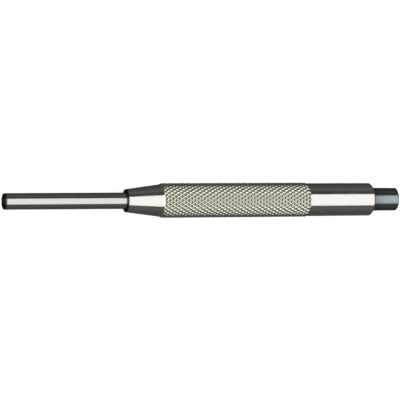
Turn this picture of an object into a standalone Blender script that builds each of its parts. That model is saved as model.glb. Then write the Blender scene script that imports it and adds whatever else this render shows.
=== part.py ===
"""Pin punch with a guide sheath that slides back into the knurled handle against a spring.

The punch lies along X on the crests of its knurling, on the plane z = 0, with the middle of its
length at x = 0. Its working tip points to -X and its striking head to +X.
"""

import math

import bmesh
import bpy
from mathutils import Matrix, Vector

# Every size below is in millimetres
MM = 0.001

# Across the punch, sizes build up outwards from the drift pin: sheath, flange, chamber and handle
PIN_DIAMETER = 2.9
SHEATH_WALL = 0.925
FLANGE_LEDGE = 0.775
PIN_HEAD_LEDGE = 0.25
HANDLE_WALL = 1.45

# Handle: a plated steel sleeve with a tapered nose and a plain collar behind the knurling
HANDLE_LENGTH = 79.1
NOSE_TAPER_LENGTH = 12.0
NOSE_RIM_WIDTH = 0.95
NOSE_EDGE_ROUND = 0.3
NOSE_BORE_LENGTH = 12.0
NOSE_MOUTH_CHAMFER = 0.2
REAR_EDGE_CHAMFER = 0.3

# Diamond knurling, rolled with as many left-hand as right-hand grooves
KNURL_LEAD = 0.8
KNURL_LENGTH = 46.8
KNURL_RISE = 0.25
KNURL_DEPTH = 0.3
KNURL_GROOVE_COUNT = 25
KNURL_PITCH = 1.99

# Guide sheath: the sliding tube, with a flange that stops it inside the nose
SHEATH_REACH = 37.3
SHEATH_EDGE_CHAMFER = 0.08
SHEATH_MOUTH_CHAMFER = 0.15
SHEATH_TRAVEL = 30.0
FLANGE_THICKNESS = 3.0
FLANGE_CHAMFER = 0.3

# Drift pin: hardened, with an upset head clamped between the handle and the striking head
PIN_RECESS = 0.4
PIN_TIP_CHAMFER = 0.15
PIN_HEAD_THICKNESS = 2.5

# Return spring: closed coils at both ends
SPRING_WIRE = 0.5
SPRING_TURNS = 20
SPRING_END_TURNS = 1
SPRING_COIL_GAP = 0.1
SPRING_SPARE_LENGTH = 4.0
SPRING_STEPS_PER_TURN = 12

# Striking head: blued steel, seated in the rear of the handle
HEAD_REACH = 8.6
HEAD_EDGE_ROUND = 0.15
HEAD_FACE_FLAT_DIAMETER = 4.0
HEAD_FACE_FALL = 0.12
HEAD_SHANK_CHAMFER = 0.4

# Fits, as the gap left on each side
SLIDING_GAP = 0.05
FLANGE_GAP = 0.1
SPRING_GAP = 0.3
SEAT_GAP = 0.05
FACE_GAP = 0.3

# Facets round each turned piece
SHEATH_SEGMENTS = 40
PIN_SEGMENTS = 32
HEAD_SEGMENTS = 48
ROUND_STEPS = 3
SMOOTH_BELOW = math.radians(30)

# Radii, from the pin outwards
pin_radius = PIN_DIAMETER / 2
sheath_bore_radius = pin_radius + SLIDING_GAP
sheath_radius = sheath_bore_radius + SHEATH_WALL
flange_radius = sheath_radius + FLANGE_LEDGE
chamber_radius = flange_radius + FLANGE_GAP
rear_bore_radius = chamber_radius + PIN_HEAD_LEDGE
head_radius = rear_bore_radius - SEAT_GAP
handle_radius = rear_bore_radius + HANDLE_WALL
crest_radius = handle_radius + KNURL_RISE
groove_radius = crest_radius - KNURL_DEPTH
nose_bore_radius = sheath_radius + SLIDING_GAP
nose_radius = nose_bore_radius + NOSE_RIM_WIDTH
spring_mean_radius = chamber_radius - SPRING_GAP - SPRING_WIRE / 2

# Stations along the handle, from the front of its nose
knurl_start = NOSE_TAPER_LENGTH - KNURL_LEAD
knurl_end = knurl_start + KNURL_LENGTH
flange_front = NOSE_BORE_LENGTH + FACE_GAP
spring_front = flange_front + FLANGE_THICKNESS + FACE_GAP
spring_closed_pitch = SPRING_WIRE + SPRING_COIL_GAP
spring_solid_length = (SPRING_TURNS + 1) * spring_closed_pitch
spring_length = SHEATH_TRAVEL + spring_solid_length + SPRING_SPARE_LENGTH
pin_head_front = spring_front + spring_length + FACE_GAP
ledge_station = pin_head_front - FACE_GAP
pin_head_rear = pin_head_front + PIN_HEAD_THICKNESS
shank_front = pin_head_rear + FACE_GAP

# The whole punch
knurl_columns = 2 * KNURL_GROOVE_COUNT
knurl_rows = round(KNURL_LENGTH / (KNURL_PITCH / 2))
row_step = KNURL_LENGTH / knurl_rows
overall_length = SHEATH_REACH + HANDLE_LENGTH + HEAD_REACH
tip_x = -overall_length / 2
nose_x = tip_x + SHEATH_REACH
# The punch rests on two neighbouring lines of crests, so its axis is a little lower than their radius
axis_height = crest_radius * math.cos(math.pi / knurl_columns)


def clear_scene():
    """Removes whatever the file holds."""
    for old in list(bpy.data.objects):
        bpy.data.objects.remove(old, do_unlink=True)


def make_material(name, color, metallic, roughness):
    """A Principled material of one colour."""
    material = bpy.data.materials.new(name)
    material.use_nodes = True
    shader = material.node_tree.nodes["Principled BSDF"]
    shader.inputs["Base Color"].default_value = (*color, 1.0)
    shader.inputs["Metallic"].default_value = metallic
    shader.inputs["Roughness"].default_value = roughness
    return material


def round_corners(corners):
    """Turns corners of (x, radius, round) into outline points, with an arc where round isn't 0."""
    points = []
    for i, (x, radius, fillet) in enumerate(corners):
        corner = Vector((x, radius))
        if fillet == 0:
            points.append(corner)
            continue
        back = (Vector(corners[i - 1][:2]) - corner).normalized()
        ahead = (Vector(corners[i + 1][:2]) - corner).normalized()
        half_angle = back.angle(ahead) / 2
        centre = corner + (back + ahead).normalized() * fillet / math.sin(half_angle)
        arm = corner + back * fillet / math.tan(half_angle) - centre
        turn = math.copysign(math.pi - 2 * half_angle, back.cross(ahead))
        for step in range(ROUND_STEPS + 1):
            points.append(centre + Matrix.Rotation(-turn * step / ROUND_STEPS, 2) @ arm)
    return points


def spin_outline(outline, segments, hollow):
    """Spins an outline of (x, radius) points about X. A hollow one is a closed loop."""
    bm = bmesh.new()
    start_angle = math.pi / segments
    foot = Vector((0, math.sin(start_angle), -math.cos(start_angle)))
    verts = [bm.verts.new((Vector((x, 0, 0)) + foot * radius) * MM) for x, radius in outline]
    edges = [bm.edges.new(pair) for pair in zip(verts, verts[1:])]
    if hollow:
        edges.append(bm.edges.new((verts[-1], verts[0])))
    bmesh.ops.spin(
        bm,
        geom=verts + edges,
        cent=(0, 0, 0),
        axis=(1, 0, 0),
        angle=math.tau,
        steps=segments,
        use_merge=True,
    )
    if not hollow:
        rims = [edge for edge in bm.edges if edge.is_boundary]
        bmesh.ops.holes_fill(bm, edges=rims, sides=0)
    bmesh.ops.recalc_face_normals(bm, faces=bm.faces)
    return bm


def add_piece(name, bm, material, station, parent):
    """Makes the named object from a mesh, with its own datum on the axis at the station."""
    mesh = bpy.data.meshes.new(name)
    bm.to_mesh(mesh)
    bm.free()
    mesh.shade_smooth()
    mesh.set_sharp_from_angle(angle=SMOOTH_BELOW)
    mesh.materials.append(material)
    piece = bpy.data.objects.new(name, mesh)
    bpy.context.scene.collection.objects.link(piece)
    piece.parent = parent
    piece.location.x = station * MM
    return piece


def taper_radius(station):
    """The nose's outer radius at a station on its taper."""
    return nose_radius + (handle_radius - nose_radius) * station / NOSE_TAPER_LENGTH


def handle_outline():
    """The sleeve's closed section: outside from nose to rear, then back through its bores."""
    outside = [
        (0, nose_bore_radius + NOSE_MOUTH_CHAMFER, 0),
        (0, nose_radius, NOSE_EDGE_ROUND),
        (knurl_start, taper_radius(knurl_start), 0),
    ]
    crests = [(knurl_start + row * row_step, crest_radius, 0) for row in range(1, knurl_rows)]
    collar = [
        (knurl_end, handle_radius, 0),
        (HANDLE_LENGTH - REAR_EDGE_CHAMFER, handle_radius, 0),
        (HANDLE_LENGTH, handle_radius - REAR_EDGE_CHAMFER, 0),
    ]
    bores = [
        (HANDLE_LENGTH, rear_bore_radius, 0),
        (ledge_station, rear_bore_radius, 0),
        (ledge_station, chamber_radius, 0),
        (NOSE_BORE_LENGTH, chamber_radius, 0),
        (NOSE_BORE_LENGTH, nose_bore_radius, 0),
        (NOSE_MOUTH_CHAMFER, nose_bore_radius, 0),
    ]
    return round_corners(outside + crests + collar + bores)


def roll_knurling(bm):
    """Sinks every other point of the crest rows, so that grooves cross and leave diamonds."""
    column_angle = math.tau / knurl_columns
    sunk = []
    for vert in bm.verts:
        row = round((vert.co.x / MM - knurl_start) / row_step)
        radius = math.hypot(vert.co.y, vert.co.z) / MM
        if not 0 < row < knurl_rows or radius < groove_radius:
            continue
        column = math.floor(math.atan2(vert.co.z, vert.co.y) / column_angle)
        if (row + column) % 2:
            vert.co.yz = vert.co.yz * groove_radius / radius
            sunk.append(vert)
    bmesh.ops.connect_verts(bm, verts=sunk)


def build_handle(material, parent):
    """The knurled sleeve."""
    bm = spin_outline(handle_outline(), knurl_columns, hollow=True)
    roll_knurling(bm)
    return add_piece("handle_body", bm, material, 0, parent)


def build_sheath(material, parent):
    """The guide sheath, from its mouth to the flange that stops it inside the nose."""
    front = SHEATH_REACH + flange_front
    rear = front + FLANGE_THICKNESS
    outline = round_corners([
        (0, sheath_bore_radius + SHEATH_MOUTH_CHAMFER, 0),
        (0, sheath_radius - SHEATH_EDGE_CHAMFER, 0),
        (SHEATH_EDGE_CHAMFER, sheath_radius, 0),
        (front, sheath_radius, 0),
        (front, flange_radius - FLANGE_CHAMFER, 0),
        (front + FLANGE_CHAMFER, flange_radius, 0),
        (rear - FLANGE_CHAMFER, flange_radius, 0),
        (rear, flange_radius - FLANGE_CHAMFER, 0),
        (rear, sheath_bore_radius, 0),
        (SHEATH_MOUTH_CHAMFER, sheath_bore_radius, 0),
    ])
    bm = spin_outline(outline, SHEATH_SEGMENTS, hollow=True)
    return add_piece("guide_sheath", bm, material, -SHEATH_REACH, parent)


def build_pin(material, parent):
    """The drift pin, from its tip just inside the sheath's mouth to its upset head."""
    shaft_length = SHEATH_REACH - PIN_RECESS + pin_head_front
    outline = round_corners([
        (0, pin_radius - PIN_TIP_CHAMFER, 0),
        (PIN_TIP_CHAMFER, pin_radius, 0),
        (shaft_length, pin_radius, 0),
        (shaft_length, head_radius, 0),
        (shaft_length + PIN_HEAD_THICKNESS, head_radius, 0),
    ])
    bm = spin_outline(outline, PIN_SEGMENTS, hollow=False)
    return add_piece("drift_pin", bm, material, PIN_RECESS - SHEATH_REACH, parent)


def spring_station(turn):
    """How far along its length the spring's wire is after so many turns."""
    open_turns = SPRING_TURNS - 2 * SPRING_END_TURNS
    closed_length = SPRING_END_TURNS * spring_closed_pitch
    open_pitch = (spring_length - SPRING_WIRE - 2 * closed_length) / open_turns
    first_end = min(turn, SPRING_END_TURNS)
    middle = min(max(turn - SPRING_END_TURNS, 0), open_turns)
    last_end = max(turn - SPRING_TURNS + SPRING_END_TURNS, 0)
    return SPRING_WIRE / 2 + (first_end + last_end) * spring_closed_pitch + middle * open_pitch


def build_spring(material, parent):
    """The return spring, as a round wire along a helix."""
    curve = bpy.data.curves.new("return_spring", "CURVE")
    curve.dimensions = "3D"
    curve.bevel_depth = SPRING_WIRE / 2 * MM
    curve.bevel_resolution = 1
    curve.use_fill_caps = True
    steps = SPRING_TURNS * SPRING_STEPS_PER_TURN
    wire = curve.splines.new("POLY")
    wire.points.add(steps)
    for step in range(steps + 1):
        turn = step / SPRING_STEPS_PER_TURN
        angle = math.tau * turn
        place = Vector((
            spring_station(turn),
            spring_mean_radius * math.cos(angle),
            spring_mean_radius * math.sin(angle),
        ))
        wire.points[step].co = (*(place * MM), 1)
    curve.materials.append(material)
    spring = bpy.data.objects.new("return_spring", curve)
    bpy.context.scene.collection.objects.link(spring)
    spring.parent = parent
    spring.location.x = spring_front * MM
    return spring


def build_head(material, parent):
    """The striking head, from its shank behind the pin to its slightly domed face."""
    end = HANDLE_LENGTH + HEAD_REACH - shank_front
    outline = round_corners([
        (0, head_radius - HEAD_SHANK_CHAMFER, 0),
        (HEAD_SHANK_CHAMFER, head_radius, 0),
        (end - HEAD_FACE_FALL, head_radius, HEAD_EDGE_ROUND),
        (end, HEAD_FACE_FLAT_DIAMETER / 2, 0),
    ])
    bm = spin_outline(outline, HEAD_SEGMENTS, hollow=False)
    return add_piece("striking_head", bm, material, shank_front, parent)


def build_punch():
    """Every piece, placed from the front of the handle's nose."""
    nose_datum = bpy.data.objects.new("nose_datum", None)
    bpy.context.scene.collection.objects.link(nose_datum)
    nose_datum.location = Vector((nose_x, 0, axis_height)) * MM
    nickel = make_material("nickel_plate", (0.66, 0.63, 0.56), 1.0, 0.18)
    polished = make_material("polished_nickel", (0.60, 0.59, 0.56), 1.0, 0.25)
    tool_steel = make_material("hardened_steel", (0.30, 0.29, 0.28), 1.0, 0.35)
    spring_steel = make_material("spring_steel", (0.35, 0.34, 0.33), 1.0, 0.30)
    blued = make_material("blued_steel", (0.10, 0.13, 0.15), 1.0, 0.28)
    build_handle(nickel, nose_datum)
    build_sheath(polished, nose_datum)
    build_pin(tool_steel, nose_datum)
    build_spring(spring_steel, nose_datum)
    build_head(blued, nose_datum)


clear_scene()
build_punch()
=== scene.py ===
"""Looks for the pin punch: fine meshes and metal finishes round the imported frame, in a plain studio.

The punch lies along X on the floor, z = 0, with its working tip towards -X.
"""

import math

import bmesh
import bpy
from mathutils import Matrix, Vector


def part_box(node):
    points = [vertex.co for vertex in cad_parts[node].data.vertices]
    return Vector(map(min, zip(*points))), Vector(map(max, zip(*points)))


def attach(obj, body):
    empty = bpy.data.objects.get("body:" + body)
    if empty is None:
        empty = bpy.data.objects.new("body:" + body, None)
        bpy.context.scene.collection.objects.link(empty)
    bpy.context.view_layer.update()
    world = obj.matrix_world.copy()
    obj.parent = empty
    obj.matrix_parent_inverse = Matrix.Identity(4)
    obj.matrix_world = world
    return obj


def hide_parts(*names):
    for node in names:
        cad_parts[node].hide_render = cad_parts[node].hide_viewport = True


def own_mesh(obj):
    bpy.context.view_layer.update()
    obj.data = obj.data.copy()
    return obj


# Lengths are in millimetres and angles in radians. Times MM, a length is in Blender's metres
MM = 0.001

# Handle, across: from its bores outwards
NOSE_BORE_RADIUS = 2.475
CHAMBER_RADIUS = 3.3
REAR_BORE_RADIUS = 3.55
NOSE_RADIUS = 3.425
HANDLE_RADIUS = 5.0

# Handle, along: from the front of its nose
NOSE_TAPER_LENGTH = 12.0
NOSE_EDGE_ROUND = 0.25
NOSE_BORE_LENGTH = 12.0
NOSE_MOUTH_ROUND = 0.05
# How far back from its front the nose gets painted shade
NOSE_PAINTED_SHADE_LENGTH = 0.3
LEDGE_STATION = 62.2
REAR_EDGE_CHAMFER = 0.45
REAR_EDGE_ROUND = 0.1
REAR_MOUTH_ROUND = 0.1

# Knurling: two sets of helical grooves that leave diamonds with rounded tips
KNURL_LEAD = 1.5
KNURL_LENGTH = 47.25
KNURL_TIP_RADIUS = 5.25
KNURL_GROOVE_DEPTH = 0.45
KNURL_GROOVE_COUNT = 25
KNURL_PITCH = 1.99
KNURL_FADE_FRONT = 1.2
KNURL_FADE_REAR = 0.4
# The lines across one diamond, as shares of its side, and the power that curves its flanks
KNURL_SHARES = (0.0, 0.07, 0.17, 0.31, 0.5, 0.69, 0.83, 0.93)
KNURL_FLANK_POWER = 1.5
# How far the shade painted into the pits reaches from where two grooves cross
KNURL_PIT_SHADE_REACH_ALONG = 0.38
KNURL_PIT_SHADE_REACH_ROUND = 0.54
# Half pitches of lattice beyond each end of the knurling, for a square cut
KNURL_SPARE = 2

# Guide sheath and drift pin
SHEATH_RADIUS = 2.425
SHEATH_BORE_RADIUS = 1.5
SHEATH_EDGE_CHAMFER_LENGTH = 0.5
SHEATH_EDGE_CHAMFER_DEPTH = 0.1
SHEATH_EDGE_ROUND = 0.05
SHEATH_MOUTH_ROUND = 0.05
FLANGE_RADIUS = 3.2
FLANGE_THICKNESS = 3.0
FLANGE_ROUND = 0.3
PIN_RADIUS = 1.45
PIN_TIP_ROUND = 0.15
PIN_HEAD_THICKNESS = 2.5

# Return spring
SPRING_WIRE_RADIUS = 0.25
SPRING_MEAN_RADIUS = 2.75
SPRING_TURNS = 20
SPRING_END_TURNS = 1
SPRING_CLOSED_PITCH = 0.6
SPRING_STEPS_PER_TURN = 28
SPRING_WIRE_SIDES = 12

# Striking head, whose shank is as wide as the pin's head
HEAD_RADIUS = 3.5
HEAD_EDGE_ROUND = 0.15
HEAD_FACE_FLAT_RADIUS = 2.0
HEAD_FACE_FALL = 0.12
HEAD_SHANK_ROUND = 0.4

# Meshes: the sides of a turned piece, the steps of a rounding and the angle that keeps an edge sharp
SEGMENTS = 96
ROUND_STEPS = 5
SHARP_ABOVE = math.radians(40)
# How far beside a rounding its support points lie
SUPPORT_GAP = 0.04
# How far off a point may be and still count as on a cut, or as part of a ring
CUT_TOLERANCE = 0.0001
RING_TOLERANCE = 0.001

# The range that a noise texture's values mostly keep to
NOISE_RANGE = (0.3, 0.7)

# Camera: it stands over the punch and leans towards the tip
CAMERA_LEAN = math.radians(20.1)
CAMERA_DISTANCE = 730.0
CAMERA_AIM = Vector((-1.58, 0.09))
CAMERA_ROLL = math.radians(0.335)
CAMERA_LENS = 219.25
CAMERA_SENSOR_WIDTH = 36.0
CAMERA_CLIP_START = 10.0

# Studio: a softbox overhead, a dark tent round it and a dark card on the floor
SOFTBOX_HEIGHT = 600.0
# The softbox's sides, as angles from overhead at the punch
SOFTBOX_FRONT_ANGLE = math.radians(-32)
SOFTBOX_REAR_ANGLE = math.radians(50)
SOFTBOX_LEFT_ANGLE = math.radians(36.5)
SOFTBOX_RIGHT_ANGLE = math.radians(42.8)
SOFTBOX_RADIANCE = 1.1
WORLD_LIGHT = 0.6
TENT_RADIUS = 900.0
TENT_REACH_FRONT = 900.0
TENT_REACH_REAR = 1500.0
TENT_STEPS = 48
CARD_LIFT = 0.1
# How far from the punch the card's greys still change
CARD_GREY_REACH = 40.0
FLOOR_SIZE = 8000.0
FLOOR_DROP = 0.05
FLOOR_GREY = 0.6
FLOOR_ROUGHNESS = 0.9
FLOOR_GLOW = 0.64

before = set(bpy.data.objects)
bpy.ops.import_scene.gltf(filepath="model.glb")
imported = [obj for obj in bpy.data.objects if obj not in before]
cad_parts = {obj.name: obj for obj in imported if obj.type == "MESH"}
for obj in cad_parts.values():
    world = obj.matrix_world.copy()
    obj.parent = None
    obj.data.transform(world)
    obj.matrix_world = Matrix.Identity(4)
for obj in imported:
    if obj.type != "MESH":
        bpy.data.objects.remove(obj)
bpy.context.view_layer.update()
handle_low, handle_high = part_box("handle_body")
sheath_low, sheath_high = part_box("guide_sheath")
pin_low, pin_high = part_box("drift_pin")
spring_low, spring_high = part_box("return_spring")
head_low, head_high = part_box("striking_head")
axis_z = (head_low.z + head_high.z) / 2 / MM

nose_x = handle_low.x / MM
handle_rear_x = handle_high.x / MM
knurl_front_x = nose_x + NOSE_TAPER_LENGTH - KNURL_LEAD
knurl_rear_x = knurl_front_x + KNURL_LENGTH


def round_corners(corners):
    """Turns corners of (x, radius, round) into outline points, with an arc and support points."""
    points = []
    for i, (x, radius, fillet) in enumerate(corners):
        corner = Vector((x, radius))
        if fillet == 0:
            points.append(corner)
            continue
        back = (Vector(corners[i - 1][:2]) - corner).normalized()
        ahead = (Vector(corners[(i + 1) % len(corners)][:2]) - corner).normalized()
        half_angle = back.angle(ahead) / 2
        centre = corner + (back + ahead).normalized() * fillet / math.sin(half_angle)
        reach = fillet / math.tan(half_angle)
        arm = corner + back * reach - centre
        turn = math.copysign(math.pi - 2 * half_angle, back.cross(ahead))
        points.append(corner + back * (reach + SUPPORT_GAP))
        for step in range(ROUND_STEPS + 1):
            points.append(centre + Matrix.Rotation(-turn * step / ROUND_STEPS, 2) @ arm)
        points.append(corner + ahead * (reach + SUPPORT_GAP))
    return points


def spin_outline(outline, hollow):
    """Spins (x, radius) points about the axis: a closed loop if hollow, else from axis to axis."""
    bm = bmesh.new()
    # Flat faces close a solid piece, so its two points on the axis are left out
    points = outline if hollow else outline[1:-1]
    verts = [bm.verts.new((x, 0, radius)) for x, radius in points]
    edges = [bm.edges.new(pair) for pair in zip(verts, verts[1:])]
    if hollow:
        edges.append(bm.edges.new((verts[-1], verts[0])))
    bmesh.ops.spin(
        bm,
        geom=verts + edges,
        cent=(0, 0, 0),
        axis=(1, 0, 0),
        angle=math.tau,
        steps=SEGMENTS,
        use_merge=True,
    )
    if not hollow:
        rims = [edge for edge in bm.edges if edge.is_boundary]
        bmesh.ops.holes_fill(bm, edges=rims, sides=0)
    return bm


def add_piece(name, bm, materials, body, node):
    """Makes a piece from a mesh round the axis, in place of a CAD node."""
    bmesh.ops.recalc_face_normals(bm, faces=bm.faces)
    to_frame = Matrix.Scale(MM, 4) @ Matrix.Translation((0, 0, axis_z))
    bmesh.ops.transform(bm, matrix=to_frame, verts=bm.verts)
    mesh = bpy.data.meshes.new(name)
    bm.to_mesh(mesh)
    bm.free()
    mesh.shade_smooth()
    mesh.set_sharp_from_angle(angle=SHARP_ABOVE)
    for material in materials:
        mesh.materials.append(material)
    piece = bpy.data.objects.new(name, mesh)
    bpy.context.scene.collection.objects.link(piece)
    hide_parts(node)
    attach(piece, body)
    return piece


def darken_end(piece, x):
    """Gives the faces in front of x the last of a piece's materials, which paints shade on that end."""
    for face in piece.data.polygons:
        if face.center.x < x * MM:
            face.material_index = len(piece.data.materials) - 1


def plain_radius(x):
    """The handle's outer radius at x, were it not knurled."""
    share = min((x - nose_x) / NOSE_TAPER_LENGTH, 1)
    return NOSE_RADIUS + (HANDLE_RADIUS - NOSE_RADIUS) * share


def smooth_step(value):
    """Eases a value from 0 to 1."""
    value = min(max(value, 0), 1)
    return value * value * (3 - 2 * value)


def knurl_fade(x):
    """1 along the knurling, falling to 0 at both of its ends."""
    front = smooth_step((x - knurl_front_x) / KNURL_FADE_FRONT)
    return front * smooth_step((knurl_rear_x - x) / KNURL_FADE_REAR)


def knurl_radius(x, depth_share):
    """The knurling's radius at x, faded into the plain handle at both ends."""
    knurled = KNURL_TIP_RADIUS - KNURL_GROOVE_DEPTH * depth_share
    return plain_radius(x) + (knurled - plain_radius(x)) * knurl_fade(x)


def knurl_line(index):
    """The place of a lattice line, in diamonds, and the share of the groove's depth along it."""
    share = KNURL_SHARES[index % len(KNURL_SHARES)]
    return index // len(KNURL_SHARES) + share, abs(1 - 2 * share) ** KNURL_FLANK_POWER


def pit_share(first, second):
    """1 where two grooves cross, falling to 0 at the rim of the pit that they leave there: the weight of
    the shade painted into it.
    """
    first -= round(first)
    second -= round(second)
    along = (first - second) * KNURL_PITCH / 2
    around = (first + second) * math.pi / KNURL_GROOVE_COUNT * KNURL_TIP_RADIUS
    return max(0, 1 - math.hypot(along / KNURL_PIT_SHADE_REACH_ALONG, around / KNURL_PIT_SHADE_REACH_ROUND))


def knurl_sleeve():
    """The knurled surface on a lattice that follows both sets of grooves, cut square at both ends."""
    bm = bmesh.new()
    pit_shade = bm.verts.layers.float.new("pit_shade")
    round_lines = KNURL_GROOVE_COUNT * len(KNURL_SHARES)
    half_pitches = math.ceil(2 * KNURL_LENGTH / KNURL_PITCH) + 2 * KNURL_SPARE
    length_lines = half_pitches * len(KNURL_SHARES)
    verts = {}
    for i in range(round_lines):
        for j in range(length_lines):
            first, first_depth = knurl_line(i + j)
            second, second_depth = knurl_line(i)
            x = knurl_front_x + (first - second - KNURL_SPARE) * KNURL_PITCH / 2
            angle = (first + second) * math.pi / KNURL_GROOVE_COUNT
            radius = knurl_radius(x, max(first_depth, second_depth))
            verts[i, j] = bm.verts.new((x, radius * math.sin(angle), radius * math.cos(angle)))
            # Painted shade in the pits: its share, faded out towards both ends of the knurling
            verts[i, j][pit_shade] = pit_share(first, second) * knurl_fade(x)
    for i in range(round_lines):
        after = (i + 1) % round_lines
        for j in range(1, length_lines - 1):
            # From a crossing, one line on in the first set, in both sets, and in the second set
            bm.faces.new((verts[i, j], verts[i, j + 1], verts[after, j], verts[after, j - 1]))
    for x, side in ((knurl_front_x, -1), (knurl_rear_x, 1)):
        bmesh.ops.bisect_plane(
            bm,
            geom=bm.verts[:] + bm.edges[:] + bm.faces[:],
            dist=CUT_TOLERANCE,
            plane_co=(x, 0, 0),
            plane_no=(side, 0, 0),
            clear_outer=True,
        )
    return bm


def ring_at(bm, x):
    """The open ring of edges at x."""
    return [
        edge
        for edge in bm.edges
        if edge.is_boundary and all(abs(vert.co.x - x) < RING_TOLERANCE for vert in edge.verts)
    ]


def move_ring(verts, x, radius):
    """Puts a ring's points at x and a radius, each at its own angle."""
    for vert in verts:
        scale = radius / math.hypot(vert.co.y, vert.co.z)
        vert.co = (x, vert.co.y * scale, vert.co.z * scale)


def sweep_ring(bm, ring, outline):
    """Extrudes an open ring through the points of an outline, and returns the last ring."""
    for x, radius in outline:
        made = bmesh.ops.extrude_edge_only(bm, edges=ring)["geom"]
        verts = {item for item in made if isinstance(item, bmesh.types.BMVert)}
        ring = [
            item
            for item in made
            if isinstance(item, bmesh.types.BMEdge) and all(vert in verts for vert in item.verts)
        ]
        move_ring(verts, x, radius)
    return ring


def handle_front_outline():
    """From beside the knurling's front down the taper, round the nose and back through its bores."""
    bore_end = nose_x + NOSE_BORE_LENGTH
    support_x = knurl_front_x - SUPPORT_GAP
    return round_corners([
        (support_x, plain_radius(support_x), 0),
        (nose_x, NOSE_RADIUS, NOSE_EDGE_ROUND),
        (nose_x, NOSE_BORE_RADIUS, NOSE_MOUTH_ROUND),
        (bore_end, NOSE_BORE_RADIUS, 0),
        (bore_end, CHAMBER_RADIUS, 0),
        (nose_x + LEDGE_STATION, CHAMBER_RADIUS, 0),
    ])


def handle_rear_outline():
    """From beside the knurling's rear along the collar, round the rear face and in to the ledge."""
    return round_corners([
        (knurl_rear_x + SUPPORT_GAP, HANDLE_RADIUS, 0),
        (handle_rear_x - REAR_EDGE_CHAMFER, HANDLE_RADIUS, REAR_EDGE_ROUND),
        (handle_rear_x, HANDLE_RADIUS - REAR_EDGE_CHAMFER, REAR_EDGE_ROUND),
        (handle_rear_x, REAR_BORE_RADIUS, REAR_MOUTH_ROUND),
        (nose_x + LEDGE_STATION, REAR_BORE_RADIUS, 0),
    ])


def build_handle(plain, knurled, dark):
    """The sleeve: the knurled surface, carried on as plain rings to the nose, the rear and the bores."""
    bm = knurl_sleeve()
    knurled_faces = set(bm.faces)
    rings = []
    for x, outline in ((knurl_front_x, handle_front_outline()), (knurl_rear_x, handle_rear_outline())):
        ring = ring_at(bm, x)
        move_ring({vert for edge in ring for vert in edge.verts}, x, plain_radius(x))
        rings += sweep_ring(bm, ring, outline)
    bmesh.ops.bridge_loops(bm, edges=rings)
    for face in bm.faces:
        face.material_index = 1 if face in knurled_faces else 0
    materials = [plain, knurled, dark]
    piece = add_piece("knurled_handle", bm, materials, "handle", "handle_body")
    # Painted shade on the nose's front face and rounded edge
    darken_end(piece, nose_x + NOSE_PAINTED_SHADE_LENGTH)


def build_sheath(polished, dark):
    """The guide sheath, from its mouth to the flange inside the handle."""
    front = sheath_low.x / MM
    rear = sheath_high.x / MM
    flange_front = rear - FLANGE_THICKNESS
    outline = round_corners([
        (front, SHEATH_BORE_RADIUS, SHEATH_MOUTH_ROUND),
        (front, SHEATH_RADIUS - SHEATH_EDGE_CHAMFER_DEPTH, SHEATH_EDGE_ROUND),
        (front + SHEATH_EDGE_CHAMFER_LENGTH, SHEATH_RADIUS, SHEATH_EDGE_ROUND),
        (flange_front, SHEATH_RADIUS, 0),
        (flange_front, FLANGE_RADIUS, FLANGE_ROUND),
        (rear, FLANGE_RADIUS, FLANGE_ROUND),
        (rear, SHEATH_BORE_RADIUS, SHEATH_MOUTH_ROUND),
        (front + SHEATH_EDGE_CHAMFER_LENGTH, SHEATH_BORE_RADIUS, 0),
    ])
    bm = spin_outline(outline, hollow=True)
    piece = add_piece("sheath_tube", bm, [polished, dark], "sheath", "guide_sheath")
    # Painted shade on the sheath's mouth and end chamfer
    darken_end(piece, front + SHEATH_EDGE_CHAMFER_LENGTH)


def build_pin(material):
    """The drift pin, from its tip to its upset head."""
    tip = pin_low.x / MM
    rear = pin_high.x / MM
    head_front = rear - PIN_HEAD_THICKNESS
    outline = round_corners([
        (tip, 0, 0),
        (tip, PIN_RADIUS, PIN_TIP_ROUND),
        (head_front, PIN_RADIUS, 0),
        (head_front, HEAD_RADIUS, 0),
        (rear, HEAD_RADIUS, 0),
        (rear, 0, 0),
    ])
    bm = spin_outline(outline, hollow=False)
    add_piece("pin_shaft", bm, [material], "handle", "drift_pin")


def build_head(material):
    """The striking head, from its shank to its slightly domed face."""
    front = head_low.x / MM
    rear = head_high.x / MM
    outline = round_corners([
        (front, 0, 0),
        (front, HEAD_RADIUS, HEAD_SHANK_ROUND),
        (rear - HEAD_FACE_FALL, HEAD_RADIUS, HEAD_EDGE_ROUND),
        (rear, HEAD_FACE_FLAT_RADIUS, 0),
        (rear, 0, 0),
    ])
    bm = spin_outline(outline, hollow=False)
    add_piece("striking_end", bm, [material], "handle", "striking_head")


def spring_station(turn, length):
    """How far along the spring its wire's centre is after so many turns."""
    open_turns = SPRING_TURNS - 2 * SPRING_END_TURNS
    closed_length = SPRING_END_TURNS * SPRING_CLOSED_PITCH
    open_pitch = (length - 2 * SPRING_WIRE_RADIUS - 2 * closed_length) / open_turns
    first_end = min(turn, SPRING_END_TURNS)
    middle = min(max(turn - SPRING_END_TURNS, 0), open_turns)
    last_end = max(turn - SPRING_TURNS + SPRING_END_TURNS, 0)
    return SPRING_WIRE_RADIUS + (first_end + last_end) * SPRING_CLOSED_PITCH + middle * open_pitch


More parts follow.
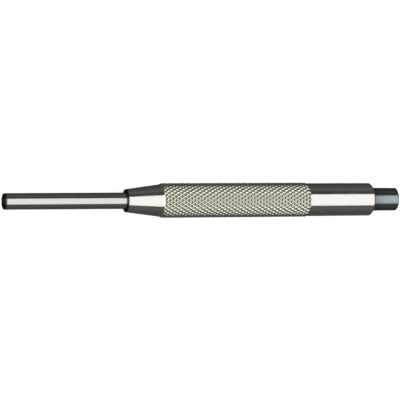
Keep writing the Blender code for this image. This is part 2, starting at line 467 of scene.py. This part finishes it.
def build_spring(material):
    """The return spring, a round wire swept along a helix with closed ends."""
    front = spring_low.x / MM
    length = spring_high.x / MM - front
    bm = bmesh.new()
    rings = []
    for step in range(SPRING_TURNS * SPRING_STEPS_PER_TURN + 1):
        turn = step / SPRING_STEPS_PER_TURN
        outward = Vector((0, math.cos(math.tau * turn), math.sin(math.tau * turn)))
        centre = Vector((front + spring_station(turn, length), 0, 0)) + outward * SPRING_MEAN_RADIUS
        ring = []
        for side in range(SPRING_WIRE_SIDES):
            angle = math.tau * side / SPRING_WIRE_SIDES
            offset = outward * math.cos(angle) + Vector((math.sin(angle), 0, 0))
            ring.append(bm.verts.new(centre + offset * SPRING_WIRE_RADIUS))
        rings.append(ring)
    for ring, after in zip(rings, rings[1:]):
        for side in range(SPRING_WIRE_SIDES):
            ahead = (side + 1) % SPRING_WIRE_SIDES
            bm.faces.new((ring[side], ring[ahead], after[ahead], after[side]))
    bm.faces.new(rings[0])
    bm.faces.new(rings[-1])
    spring = add_piece("spring_wire", bm, [material], "handle", "return_spring")
    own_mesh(spring)


def start_metal(name):
    """A metal, its node tree and its shader."""
    material = bpy.data.materials.new(name)
    material.use_nodes = True
    tree = material.node_tree
    shader = tree.nodes["Principled BSDF"]
    shader.inputs["Metallic"].default_value = 1
    return material, tree, shader


def own_coordinates(tree):
    """The outputs X, Y and Z of a point's place in its object's own coordinates, in metres."""
    coordinates = tree.nodes.new("ShaderNodeTexCoord")
    split = tree.nodes.new("ShaderNodeSeparateXYZ")
    tree.links.new(coordinates.outputs["Object"], split.inputs["Vector"])
    return split.outputs


def add_noise(tree, scale, detail):
    """Noise over the object's own coordinates, with a scale in features a metre along each axis."""
    coordinates = tree.nodes.new("ShaderNodeTexCoord")
    mapping = tree.nodes.new("ShaderNodeMapping")
    noise = tree.nodes.new("ShaderNodeTexNoise")
    mapping.inputs["Scale"].default_value = scale
    noise.inputs["Scale"].default_value = 1
    noise.inputs["Detail"].default_value = detail
    tree.links.new(coordinates.outputs["Object"], mapping.inputs["Vector"])
    tree.links.new(mapping.outputs["Vector"], noise.inputs["Vector"])
    return noise.outputs["Fac"]


def map_range(tree, source, given, wanted=(0, 1)):
    """Carries a value over from one range of (low, high) to another, and holds it within that."""
    node = tree.nodes.new("ShaderNodeMapRange")
    for name, limit in zip(("From Min", "From Max", "To Min", "To Max"), (*given, *wanted)):
        node.inputs[name].default_value = limit
    tree.links.new(source, node.inputs["Value"])
    return node.outputs["Result"]


def add_ramp(tree, source, stops):
    """A colour ramp with stops of (place, colour)."""
    ramp = tree.nodes.new("ShaderNodeValToRGB")
    elements = ramp.color_ramp.elements
    while len(elements) < len(stops):
        elements.new(1)
    for element, (place, color) in zip(elements, stops):
        element.position = place
        element.color = (*color, 1)
    tree.links.new(source, ramp.inputs["Fac"])
    return ramp.outputs["Color"]


def vary_roughness(tree, shader, noise, low, high):
    """Lets noise drive the roughness between two limits."""
    roughness = map_range(tree, noise, NOISE_RANGE, (low, high))
    tree.links.new(roughness, shader.inputs["Roughness"])


def add_bump(tree, shader, source, height):
    """Raises the surface by a 0 to 1 value times a height."""
    bump = tree.nodes.new("ShaderNodeBump")
    bump.inputs["Distance"].default_value = height * MM
    tree.links.new(source, bump.inputs["Height"])
    tree.links.new(bump.outputs["Normal"], shader.inputs["Normal"])


def nickel_finish():
    """Bright nickel over a finely turned surface."""
    material, tree, shader = start_metal("nickel_plate_turned")
    shader.inputs["Base Color"].default_value = (0.82, 0.81, 0.76, 1)
    haze = add_noise(tree, scale=(150, 400, 400), detail=3)
    vary_roughness(tree, shader, haze, low=0.10, high=0.17)
    turning = add_noise(tree, scale=(7000, 90, 90), detail=2)
    add_bump(tree, shader, turning, height=0.0004)
    return material


def knurl_finish():
    """Nickel on the rolled diamonds, with shade painted near black into the pits where two grooves
    cross.
    """
    material, tree, shader = start_metal("nickel_plate_knurled")
    shader.inputs["Roughness"].default_value = 0.08
    pit_shade = tree.nodes.new("ShaderNodeAttribute")
    pit_shade.attribute_name = "pit_shade"
    # Painted shade: the base colour falls to near black where the pit share is 1
    color = add_ramp(tree, pit_shade.outputs["Fac"], [(0.0, (0.97, 0.94, 0.83)), (1.0, (0.03, 0.025, 0.02))])
    tree.links.new(color, shader.inputs["Base Color"])
    grain = add_noise(tree, scale=(9000, 9000, 9000), detail=2)
    add_bump(tree, shader, grain, height=0.003)
    return material


def sheath_finish():
    """Ground and polished nickel with faint lines round the tube."""
    material, tree, shader = start_metal("nickel_ground")
    shader.inputs["Base Color"].default_value = (0.665, 0.665, 0.625, 1)
    haze = add_noise(tree, scale=(120, 300, 300), detail=3)
    vary_roughness(tree, shader, haze, low=0.12, high=0.18)
    grinding = add_noise(tree, scale=(9000, 120, 120), detail=2)
    add_bump(tree, shader, grinding, height=0.0005)
    return material


def painted_shade_finish():
    """Near black metal: painted shade on the front edges of the nose and the sheath."""
    material, tree, shader = start_metal("steel_painted_shade")
    shader.inputs["Base Color"].default_value = (0.10, 0.095, 0.09, 1)
    shader.inputs["Roughness"].default_value = 0.3
    grain = add_noise(tree, scale=(6000, 6000, 6000), detail=2)
    add_bump(tree, shader, grain, height=0.001)
    return material


def pin_finish():
    """Hardened steel with marks from centreless grinding."""
    material, tree, shader = start_metal("steel_ground")
    shader.inputs["Base Color"].default_value = (0.42, 0.41, 0.40, 1)
    shader.inputs["Roughness"].default_value = 0.32
    grinding = add_noise(tree, scale=(6000, 200, 200), detail=3)
    add_bump(tree, shader, grinding, height=0.001)
    return material


def spring_finish():
    """Drawn spring wire."""
    material, tree, shader = start_metal("steel_wire")
    shader.inputs["Base Color"].default_value = (0.42, 0.41, 0.40, 1)
    haze = add_noise(tree, scale=(900, 900, 900), detail=2)
    vary_roughness(tree, shader, haze, low=0.24, high=0.36)
    return material


def blued_finish():
    """Blued steel: mauve and darker by the collar, teal in the middle, and a darker blue at the face."""
    material, tree, shader = start_metal("steel_blued")
    along = map_range(tree, own_coordinates(tree)["X"], (handle_rear_x * MM, head_high.x))
    stops = [
        (0.0, (0.22, 0.21, 0.22)),
        (0.25, (0.28, 0.31, 0.31)),
        (0.5, (0.31, 0.38, 0.38)),
        (0.85, (0.31, 0.39, 0.40)),
        (1.0, (0.24, 0.30, 0.34)),
    ]
    tree.links.new(add_ramp(tree, along, stops), shader.inputs["Base Color"])
    haze = add_noise(tree, scale=(300, 300, 300), detail=3)
    vary_roughness(tree, shader, haze, low=0.20, high=0.27)
    turning = add_noise(tree, scale=(5000, 150, 150), detail=2)
    add_bump(tree, shader, turning, height=0.0008)
    return material


def add_camera():
    """The camera of the photograph: over the punch, leaning towards its tip."""
    toward = Vector((-math.sin(CAMERA_LEAN), 0, math.cos(CAMERA_LEAN)))
    right = Vector((math.cos(CAMERA_LEAN), 0, math.sin(CAMERA_LEAN)))
    axes = Matrix((right, toward.cross(right), toward)).transposed().to_4x4()
    target = Vector((CAMERA_AIM.x, CAMERA_AIM.y, axis_z))
    data = bpy.data.cameras.new("camera")
    data.lens = CAMERA_LENS
    data.sensor_width = CAMERA_SENSOR_WIDTH
    data.clip_start = CAMERA_CLIP_START * MM
    camera = bpy.data.objects.new("camera", data)
    bpy.context.scene.collection.objects.link(camera)
    place = Matrix.Translation((target + toward * CAMERA_DISTANCE) * MM)
    camera.matrix_world = place @ axes @ Matrix.Rotation(-CAMERA_ROLL, 4, "Z")
    bpy.context.scene.camera = camera


def add_softbox():
    """A wide lamp overhead, a little towards the head, where the camera sees it mirrored."""
    front = SOFTBOX_HEIGHT * math.tan(SOFTBOX_FRONT_ANGLE)
    rear = SOFTBOX_HEIGHT * math.tan(SOFTBOX_REAR_ANGLE)
    left = SOFTBOX_HEIGHT * math.tan(SOFTBOX_LEFT_ANGLE)
    right = SOFTBOX_HEIGHT * math.tan(SOFTBOX_RIGHT_ANGLE)
    data = bpy.data.lights.new("softbox", "AREA")
    data.shape = "RECTANGLE"
    data.size = (rear - front) * MM
    data.size_y = (left + right) * MM
    data.energy = SOFTBOX_RADIANCE * math.pi * data.size * data.size_y
    softbox = bpy.data.objects.new("softbox", data)
    softbox.location = Vector(((front + rear) / 2, (left - right) / 2, SOFTBOX_HEIGHT)) * MM
    bpy.context.scene.collection.objects.link(softbox)


def add_stage(name, bm, material, only_mirrored):
    """Adds an object of the studio, which may be one that only mirror surfaces see."""
    mesh = bpy.data.meshes.new(name)
    bmesh.ops.scale(bm, vec=(MM, MM, MM), verts=bm.verts)
    bm.to_mesh(mesh)
    bm.free()
    mesh.materials.append(material)
    stage = bpy.data.objects.new(name, mesh)
    bpy.context.scene.collection.objects.link(stage)
    if only_mirrored:
        stage.visible_camera = False
        stage.visible_diffuse = False
        stage.visible_transmission = False
        stage.visible_volume_scatter = False
        stage.visible_shadow = False


def level_sheet(front, rear, half_width, z):
    """A flat level face from front to rear, and as wide to the left as to the right."""
    bm = bmesh.new()
    corners = ((front, -half_width), (rear, -half_width), (rear, half_width), (front, half_width))
    bm.faces.new([bm.verts.new((x, y, z)) for x, y in corners])
    return bm


def glow_material(name):
    """A material that only glows, its tree and its emission node."""
    material = bpy.data.materials.new(name)
    material.use_nodes = True
    tree = material.node_tree
    tree.nodes.clear()
    glow = tree.nodes.new("ShaderNodeEmission")
    output = tree.nodes.new("ShaderNodeOutputMaterial")
    tree.links.new(glow.outputs["Emission"], output.inputs["Surface"])
    return material, tree, glow


def tent_finish():
    """Greys that change with the angle round the punch, from -180 to 180 degrees from overhead."""
    material, tree, glow = glow_material("tent_grey")
    place = own_coordinates(tree)
    angle = tree.nodes.new("ShaderNodeMath")
    angle.operation = "ARCTAN2"
    tree.links.new(place["Y"], angle.inputs[0])
    tree.links.new(place["Z"], angle.inputs[1])
    around = map_range(tree, angle.outputs["Value"], (-math.pi, math.pi))
    greys = [
        (-100, (0.075, 0.072, 0.066)),
        (-70, (0.105, 0.103, 0.095)),
        (-56, (0.11, 0.108, 0.098)),
        (-48, (0.07, 0.072, 0.066)),
        (-40, (0.03, 0.03, 0.03)),
        (32, (0.03, 0.03, 0.03)),
        (44, (0.045, 0.035, 0.033)),
        (56, (0.07, 0.058, 0.054)),
        (72, (0.12, 0.108, 0.10)),
        (100, (0.08, 0.072, 0.068)),
    ]
    stops = [((degrees + 180) / 360, grey) for degrees, grey in greys]
    tree.links.new(add_ramp(tree, around, stops), glow.inputs["Color"])
    return material


def add_tent():
    """A dark tent round the punch and over the softbox, down to the floor, with both ends closed."""
    bm = bmesh.new()
    angles = [math.pi * (step / TENT_STEPS - 0.5) for step in range(TENT_STEPS + 1)]
    arch = [(TENT_RADIUS * math.sin(angle), TENT_RADIUS * math.cos(angle)) for angle in angles]
    front = [bm.verts.new((-TENT_REACH_FRONT, y, z)) for y, z in arch]
    rear = [bm.verts.new((TENT_REACH_REAR, y, z)) for y, z in arch]
    for i in range(TENT_STEPS):
        bm.faces.new((front[i], rear[i], rear[i + 1], front[i + 1]))
    bm.faces.new(front)
    bm.faces.new(rear)
    add_stage("studio_tent", bm, tent_finish(), only_mirrored=True)


def card_finish():
    """Greys that change with the distance from the punch, across the floor."""
    material, tree, glow = glow_material("card_grey")
    limits = (-CARD_GREY_REACH * MM, CARD_GREY_REACH * MM)
    across = map_range(tree, own_coordinates(tree)["Y"], limits)
    greys = [
        (-CARD_GREY_REACH, (0.08, 0.078, 0.072)),
        (-18, (0.065, 0.062, 0.057)),
        (-9, (0.09, 0.09, 0.083)),
        (-5, (0.03, 0.03, 0.027)),
        (5, (0.03, 0.027, 0.025)),
        (9, (0.055, 0.05, 0.047)),
        (CARD_GREY_REACH, (0.08, 0.072, 0.068)),
    ]
    stops = [((y / CARD_GREY_REACH + 1) / 2, grey) for y, grey in greys]
    tree.links.new(add_ramp(tree, across, stops), glow.inputs["Color"])
    return material


def add_card():
    """A dark card on the floor under the punch, out to the tent."""
    bm = level_sheet(-TENT_REACH_FRONT, TENT_REACH_REAR, TENT_RADIUS, CARD_LIFT)
    add_stage("floor_card", bm, card_finish(), only_mirrored=True)


def seen_directly(tree):
    """1 for rays from the camera and for mirrored and refracted ones."""
    light_path = tree.nodes.new("ShaderNodeLightPath")
    seen = light_path.outputs["Is Camera Ray"]
    for ray in ("Is Glossy Ray", "Is Transmission Ray"):
        either = tree.nodes.new("ShaderNodeMath")
        either.operation = "MAXIMUM"
        tree.links.new(seen, either.inputs[0])
        tree.links.new(light_path.outputs[ray], either.inputs[1])
        seen = either.outputs["Value"]
    return seen


def floor_finish():
    """A matt floor that keeps shadows, and glows up to white where it is seen directly."""
    material = bpy.data.materials.new("floor_white")
    material.use_nodes = True
    tree = material.node_tree
    shader = tree.nodes["Principled BSDF"]
    shader.inputs["Base Color"].default_value = (FLOOR_GREY, FLOOR_GREY, FLOOR_GREY, 1)
    shader.inputs["Roughness"].default_value = FLOOR_ROUGHNESS
    shader.inputs["Specular IOR Level"].default_value = 0
    shader.inputs["Emission Color"].default_value = (1, 1, 1, 1)
    glow = map_range(tree, seen_directly(tree), (0, 1), (0, FLOOR_GLOW))
    tree.links.new(glow, shader.inputs["Emission Strength"])
    return material


def add_floor():
    """A white floor that keeps the punch's shadow."""
    half = FLOOR_SIZE / 2
    bm = level_sheet(-half, half, half, -FLOOR_DROP)
    add_stage("floor", bm, floor_finish(), only_mirrored=False)


def add_world():
    """Even white light all round, which the camera and mirror surfaces see as plain white."""
    world = bpy.data.worlds.new("studio")
    world.use_nodes = True
    bpy.context.scene.world = world
    tree = world.node_tree
    background = tree.nodes["Background"]
    background.inputs["Color"].default_value = (1, 1, 1, 1)
    strength = map_range(tree, seen_directly(tree), (0, 1), (WORLD_LIGHT, 1))
    tree.links.new(strength, background.inputs["Strength"])


bpy.context.scene.view_settings.view_transform = "Standard"
add_camera()
add_softbox()
add_tent()
add_card()
add_floor()
add_world()

# Near black metal that paints shade on the front ends
painted_shade_steel = painted_shade_finish()
build_handle(nickel_finish(), knurl_finish(), painted_shade_steel)
build_sheath(sheath_finish(), painted_shade_steel)
build_pin(pin_finish())
build_spring(spring_finish())
build_head(blued_finish())
